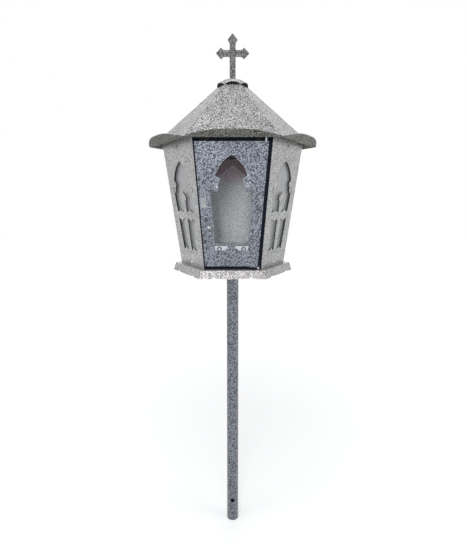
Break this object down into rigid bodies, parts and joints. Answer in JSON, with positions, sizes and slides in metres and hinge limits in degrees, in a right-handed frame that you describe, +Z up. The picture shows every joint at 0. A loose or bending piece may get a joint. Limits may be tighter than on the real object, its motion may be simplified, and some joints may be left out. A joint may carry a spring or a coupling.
{
  "type": "grave lantern",
  "caption": "Six-sided sheet-steel grave lantern on a tube pole, with glazed gothic tracery, a hinged and latched door, a petal-eaved roof and a cross.",
  "frame": {"origin": "centre of the pole's lower end", "axes": "+Z up along the pole, the door faces -Y, +X to the right of someone who looks at the door"},
  "size_m": [0.34, 0.327, 1.0463],
  "materials": {
    "pale_paint": "light grey hammered enamel",
    "door_paint": "blue-grey hammered enamel",
    "pole_paint": "grey hammered enamel",
    "cross_paint": "mid grey hammered enamel",
    "dark_paint": "dark satin primer",
    "bare_steel": "zinc plated",
    "white_strip": "matt white",
    "clear_glass": "clear float glass"
  },
  "bodies": {
    "house": {"pole_tube": "pole_paint", "pole_flange": "pole_paint", "flange_bolt_1": "bare_steel", "flange_bolt_2": "bare_steel", "flange_bolt_3": "bare_steel", "flange_nut_1": "bare_steel", "flange_nut_2": "bare_steel", "flange_nut_3": "bare_steel", "base_tray": "pale_paint", "base_upstand": "dark_paint", "panel_front_right": "pale_paint", "panel_rear_right": "pale_paint", "panel_rear": "pale_paint", "panel_rear_left": "pale_paint", "panel_front_left": "pale_paint", "rivet_foot_1": "bare_steel", "rivet_foot_2": "bare_steel", "rivet_foot_3": "bare_steel", "rivet_foot_4": "bare_steel", "rivet_foot_5": "bare_steel", "rivet_head_1": "bare_steel", "rivet_head_2": "bare_steel", "rivet_head_3": "bare_steel", "rivet_head_4": "bare_steel", "rivet_head_5": "bare_steel", "glass_front_right": "clear_glass", "glass_rear_right": "clear_glass", "glass_rear_left": "clear_glass", "glass_front_left": "clear_glass", "glass_frame_front_right": "dark_paint", "glass_frame_rear_right": "dark_paint", "glass_frame_rear_left": "dark_paint", "glass_frame_front_left": "dark_paint", "door_stop_left": "dark_paint", "door_stop_right": "dark_paint", "roof_collar": "dark_paint", "roof_panel_front": "pale_paint", "roof_panel_front_right": "pale_paint", "roof_panel_rear_right": "pale_paint", "roof_panel_rear": "pale_paint", "roof_panel_rear_left": "pale_paint", "roof_panel_front_left": "pale_paint", "roof_cap": "pale_paint", "cross_finial": "cross_paint", "hinge_pin_top": "bare_steel", "hinge_pin_foot": "bare_steel"},
    "door": {"door_leaf": "door_paint", "door_glass": "clear_glass", "door_glass_ledge": "white_strip", "door_glass_clip": "bare_steel", "door_rivet": "bare_steel", "hinge_lug": "door_paint"},
    "latch": {"latch_knob": "door_paint", "latch_spindle": "bare_steel", "latch_cam": "bare_steel"}
  },
  "joints": [
    {"name": "door_swing", "type": "hinge", "parent": "house", "child": "door", "pos_m": [0.0485, -0.08914, 0.59035], "axis": [0.0437, -0.1257, 0.9911], "range_deg": [0, 100]},
    {"name": "latch_turn", "type": "hinge", "parent": "door", "child": "latch", "pos_m": [-0.05288, -0.11065, 0.73166], "axis": [0, -0.992, -0.1259], "range_deg": [0, 90]}
  ]
}
